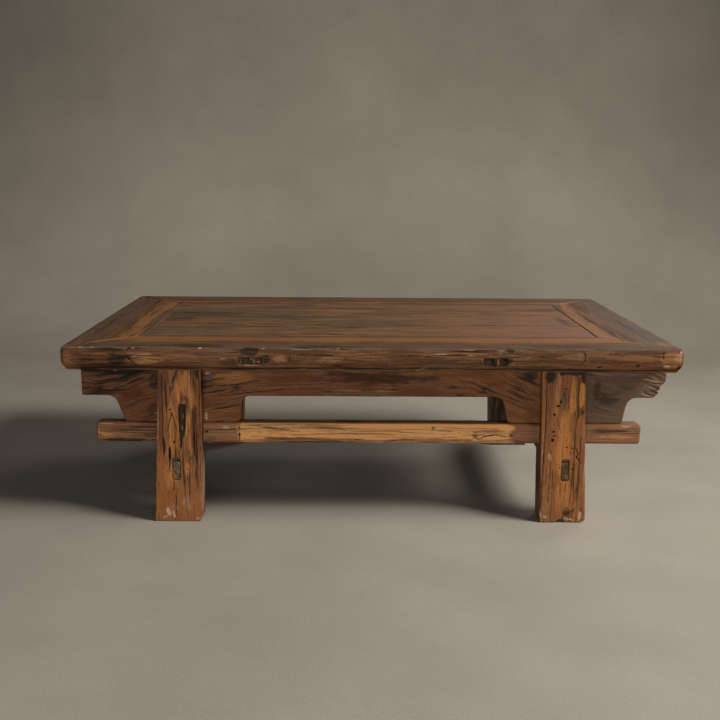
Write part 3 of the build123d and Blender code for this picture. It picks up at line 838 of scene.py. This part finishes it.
apronMarks = dict(
    bands=dict(
        tone=[(-470, -8), (-350, -8), (-272, 0), (-150, 2), (100, 11), (272, 12), (345, 10), (352, 0),
            (480, 3)],
        red=[(-470, 35), (-345, 45), (-270, 0), (480, 0)],
        grey=[(345, 0), (350, 85), (425, 85), (450, 60), (480, 50)]),
    patches=dict(
        # painted shade: the line, the darker tone and the strongest burnt patch at x -405 darken the top band
        # of the apron's left end, where the top's front edge shades it
        line=[(40, -405, 261, 90, 9)],
        tone=[(-25, -405, 258, 130, 14), (10, 370, 225, 30, 16)],
        burnt=[(100, -405, 258, 120, 22), (70, -352, 235, 14, 24), (50, -430, 212, 40, 6),
            (50, -352, 185, 14, 16), (50, -215, 222, 9, 4, 15), (50, 14, 240, 124, 12), (35, 30, 238, 84, 9),
            (35, -78, 240, 30, 8), (75, 258, 246, 16, 10), (40, 240, 225, 20, 12), (50, 366, 222, 8, 22),
            (50, 385, 205, 26, 14)],
        red=[(70, -385, 212, 30, 17), (60, 14, 239, 120, 14)],
        glow=[(30, -432, 224, 20, 7), (30, -372, 226, 14, 8), (50, -225, 236, 42, 14), (60, 20, 255, 110, 4),
            (30, 190, 240, 50, 10)],
        grey=[(80, -264, 241, 8, 9), (40, -20, 214, 120, 5), (90, 385, 212, 50, 44), (70, 440, 232, 20, 14)],
        pale=[(50, -265, 246, 4, 4), (50, -269, 176, 3.6, 12), (30, -240, 212, 20, 2), (20, 20, 254, 100, 4),
            (30, -78, 232, 9, 3), (35, -40, 219, 30, 2.2), (35, 20, 218, 30, 2.2), (35, 347.5, 222, 3, 28),
            (30, 375, 250, 30, 6), (25, 413, 246, 12, 4)]),
    flakes=dict(
        pale=[(70, -350, 179, 3.6, 3), (60, -415, 252, 3.6, 1.8), (55, 462, 236, 16, 1.8, -12),
            (50, 452, 226, 14, 1.6, -14), (50, 470, 218, 8, 2, -30), (45, 444, 214, 8, 1.6, -20)],
        burnt=[(80, 165, 208.6, 5, 2.6)]),
    knots=[(-440, 222, 6), (-410, 219, 6), (-220, 222, 5)],
    cracks=[(1.4, (-401, 188), (-376, 200), (-350, 208)), (1.6, (-262, 224), (-215, 229), (-175, 236)),
        (1.6, (-258, 206), (-205, 214), (-140, 220)), (1.5, (-262, 186), (-215, 193)),
        (1.5, (440, 240), (458, 233), (480, 232)), (1.5, (436, 228), (456, 222), (478, 224)),
        (1.3, (440, 218), (462, 213)), (1.2, (215, 222), (250, 204), (266, 186)),
        (1.1, (205, 236), (245, 222), (270, 200)), (1.2, (356, 196), (392, 184)),
        (1.2, (-460, 236), (-440, 231), (-424, 228))])
# how far the grain of the apron has sunk or risen at some places along it
apronGrain = [(-470, -28), (-400, -22), (-345, 0), (-272, 8), (-200, 20), (-120, 24), (100, 24), (160, 20),
              (272, -28), (342, -44), (420, -58), (480, -66)]
# the split end's ridges, from where they start to where they are full
splitEnd = dict(start=430, full=452, ridges=0.75, lean=0.5, deep=1.3)


def frontApron(skin):
    place, height = np.array(apronGrain, float).T
    skin.layers["drift"] -= np.interp(skin.start[:, 0] / mm, place, height) * mm
    dressFront(skin, apronMarks)
    x, y, z = skin.start.T / mm
    # the middle is rubbed to a grainy surface below the burnt lens
    grainy = skin.on("front", 0.2)[2] * fade(x, -120, -60) * fade(x, 280, 180)
    skin.add(grainy * fade(skin.crumbly + 0.7 * skin.torn, 0.35, 0.85) * fade(z, 240, 226), pale=0.25)
    skin.add(grainy * fade(skin.along(0.6, 17), 0.3, 0.7), burnt=0.7)
    # the split end, crumpled into ridges along its torn grain
    torn = fade(x, splitEnd["start"], splitEnd["full"]) * skin.on("front", 0.2)[2]
    slope = z + splitEnd["lean"] * (x - 440)
    ridges = 0.5 + 0.5 * np.sin(slope * splitEnd["ridges"] + 2.5 * skin.streaky)
    skin.sink(splitEnd["deep"] * torn * ridges, "front")
    skin.add(torn * fade(ridges, 0.7, 0.1), grey=0.6, pale=0.22)
    skin.add(torn * fade(ridges, 0.75, 1), burnt=0.35)


def rearRightLeg(skin):
    # painted shade greys and darkens its front, which stands in the shade under the table, with arched figure
    # on the part that shows under the apron
    skin.add(skin.on("front")[2], grey=0.8, tone=-0.22)
    skin.knot("front", 280, 176, 7)
    skin.knot("front", 283, 205, 5)


# the ends of the lower stretchers: the left one greyed and flecked, the right one smooth and dark
leftFootMarks = dict(patches=dict(
    grey=[(90, -313, 88, 10, 24)],
    pale=[(50, -311, 98, 4.5, 5), (40, -315, 82, 2.5, 7)]))
rightFootMarks = dict(patches=dict(
    burnt=[(42, 315, 88, 24, 44)],
    tone=[(-6, 315, 88, 24, 44)]))

# kinds of piece: material slot, finish, and how finely it is divided in millimetres, the way its grain
# runs, and how much it is rubbed and dented
frameEnd = "frame_wood", "endWood", dict(grid=2.6, grain="deep")
plank = "panel_wood", "panelWood", dict(grid=3, rub=0.8)
batten = "batten_wood", "tenonWood", dict(grid=2.2, grain="deep", fine=8, rub=1)
wedge = "wedge_wood", "tenonWood", dict(grid=0.8, grain="deep", rub=0.6, dents=0.1)
leg = "leg_wood", "legWood", dict(grid=1.9, grain="tall", fine=6, rub=1.2)
hiddenLeg = "leg_wood", "legWood", dict(grid=2.4, grain="tall")
stretcher = "stretcher_wood", "tenonWood", dict(grid=2.4, grain="deep", rub=1)
# each piece with its kind and its own marks
plans = {
    "top_frame_front": ("frame_wood", "edgeWood", dict(grid=2.4, fine=6, rub=1.3), frontEdge),
    "top_frame_rear": ("frame_wood", "edgeWood", dict(grid=3), topRing),
    "top_frame_left": (*frameEnd, topRing),
    "top_frame_right": (*frameEnd, rightEnd),
    "top_plank_front": (*plank, panelTop),
    "top_plank_middle": (*plank, panelTop),
    "top_plank_rear": (*plank, panelTop),
    "batten_left": (*batten, leftTenonMarks),
    "batten_right": (*batten, rightTenonMarks),
    "batten_wedges": (*wedge, None),
    "apron_front": ("apron_wood", "apronWood", dict(grid=2.4, fine=5, rub=1.2), frontApron),
    "apron_rear": ("apron_wood", "apronWood", dict(grid=3), None),
    "long_rail_front": ("rail_wood", "railWood", dict(grid=2.3, fine=12), frontRail),
    "long_rail_rear": ("rail_wood", "railWood", dict(grid=3), None),
    "leg_front_left": (*leg, frontLeftLeg),
    "leg_front_right": (*leg, frontRightLeg),
    "leg_rear_left": (*hiddenLeg, None),
    "leg_rear_right": (*hiddenLeg, rearRightLeg),
    "side_stretcher_lower_left": (*stretcher, leftFootMarks),
    "side_stretcher_lower_right": (*stretcher, rightFootMarks),
    "side_stretcher_upper_left": (*stretcher, None),
    "side_stretcher_upper_right": (*stretcher, None),
    "stretcher_wedges": (*wedge, None),
}
for number, (node, (slot, finish, plan, marks)) in enumerate(plans.items()):
    wornPiece(node, slot, finish, marks, number * 2.7 + 1, **plan)


camera = dict(at=(-0.0368, -1.8001, 0.5784), pitch=11.196, yaw=0.631, roll=0.453, focal=49.395, sensor=36,
              clip=(0.05, 50))


def setCamera():
    pitch, yaw, roll = (math.radians(camera[k]) for k in ("pitch", "yaw", "roll"))
    ahead = Vector((math.sin(yaw) * math.cos(pitch), math.cos(yaw) * math.cos(pitch), -math.sin(pitch)))
    level = Vector((math.cos(yaw), -math.sin(yaw), 0))
    upward = level.cross(ahead)
    right = level * math.cos(roll) + upward * math.sin(roll)
    up = upward * math.cos(roll) - level * math.sin(roll)
    data = bpy.data.cameras.new("studioCamera")
    data.lens, data.sensor_width = camera["focal"], camera["sensor"]
    data.clip_start, data.clip_end = camera["clip"]
    seen = placed("studioCamera", data)
    seen.matrix_world = Matrix.Translation(camera["at"]) @ Matrix((right, up, -ahead)).transposed().to_4x4()
    bpy.context.scene.camera = seen


backdrop = dict(
    wide=44, front=-18, back=1.15, bend=0.9, high=7,
    # the dark and the light of its paint near the table, further back, up the wall and in the far corners;
    # the darker wall and corners are painted shade
    near=((0.214, 0.191, 0.156), (0.342, 0.306, 0.25)), far=((0.24, 0.21, 0.17), (0.385, 0.337, 0.273)),
    above=((0.184, 0.161, 0.129), (0.297, 0.26, 0.211)), corner=(0.08, 0.07, 0.056))


def sweep():
    # a floor of pale canvas that turns up into a backdrop behind the table
    mesh = bmesh.new()
    half = backdrop["wide"] / 2
    edge = [mesh.verts.new((-half, backdrop["front"], 0)), mesh.verts.new((half, backdrop["front"], 0))]
    line = mesh.edges.new(edge)

    def extend(geometry, shift):
        out = bmesh.ops.extrude_edge_only(mesh, edges=geometry)["geom"]
        bmesh.ops.translate(mesh, verts=[v for v in out if isinstance(v, bmesh.types.BMVert)], vec=shift)
        return [e for e in out if isinstance(e, bmesh.types.BMEdge)]

    flat = extend([line], (0, backdrop["back"] - backdrop["front"], 0))
    turned = bmesh.ops.spin(mesh, geom=flat, cent=(0, backdrop["back"], backdrop["bend"]), axis=(1, 0, 0),
                            dvec=(0, 0, 0), angle=math.radians(90), steps=32)["geom_last"]
    extend([e for e in turned if isinstance(e, bmesh.types.BMEdge)], (0, 0, backdrop["high"]))
    bmesh.ops.recalc_face_normals(mesh, faces=mesh.faces)
    data = bpy.data.meshes.new("studioFloor")
    mesh.to_mesh(data)
    mesh.free()
    data.shade_smooth()
    floor = placed("studioFloor", data)
    s = Shader("studioCanvas")
    place, (aside, depth, height) = s.places()
    weave = s.noise(place, 330, 2, 0.7)
    mottle = s.noise(place, 7, 4, 0.62)
    cloud = s.noise(place, 1.6, 2)
    paint = ((weave - 0.5) * 0.9 + (mottle - 0.5) * 0.55 + (cloud - 0.5) * 0.8 + 0.5).clamped()
    near, far, above = (s.mix(paint, *backdrop[name]) for name in ("near", "far", "above"))
    colour = s.mix((depth + height * 1.4).rise(0.1, 1.5), near, far)
    # painted shade: darker up the wall and towards the far sides, where less light falls
    colour = s.mix(height.rise(0.3, 1.3), colour, above)
    colour = s.mix(aside.size().rise(0.5, 1.9) * height.rise(0.02, 0.5) * 0.5, colour, backdrop["corner"])
    bump = s.make("Bump", None, {"Strength": 0.35, "Distance": 0.0012, "Height": weave})
    data.materials.append(s.surface(**{"Base Color": colour, "Roughness": 0.95, "Normal": bump,
                                       "Specular IOR Level": 0.1}))


def lamp(name, at, aim, size, power, spread, warmth=(1, 1, 1)):
    data = bpy.data.lights.new(name, "AREA")
    data.shape, data.size, data.size_y = "RECTANGLE", size[0], size[1]
    data.energy, data.color, data.spread = power, warmth, math.radians(spread)
    lit = placed(name, data)
    lit.location = at
    lit.rotation_mode = "QUATERNION"
    lit.rotation_quaternion = (Vector(aim) - Vector(at)).to_track_quat("-Z", "Y")


lamps = {
    "keySoftbox": dict(at=(2.95, -1.31, 2.52), aim=(-0.3, -0.3, 0.1), size=(1.5, 1.5), power=88,
                       warmth=(1, 0.985, 0.96), spread=110),
    "fillSoftbox": dict(at=(-0.3, -3, 0.38), aim=(0, 0, 0.2), size=(2.4, 0.5), power=50, spread=180),
    "backSoftbox": dict(at=(1.5, 1.5, 1.3), aim=(0.1, 0, 0.28), size=(1.2, 0.6), power=3.4, spread=75),
}
air = dict(colour=(1, 0.94, 0.84, 1), strength=0.045)

setCamera()
sweep()
for name, setup in lamps.items():
    lamp(name, **setup)
world = bpy.data.worlds.new("studioAir")
world.use_nodes = True
sky = world.node_tree.nodes["Background"].inputs
sky["Color"].default_value, sky["Strength"].default_value = air["colour"], air["strength"]
bpy.context.scene.world = world
bpy.context.scene.view_settings.view_transform = "Standard"
print("studio set")
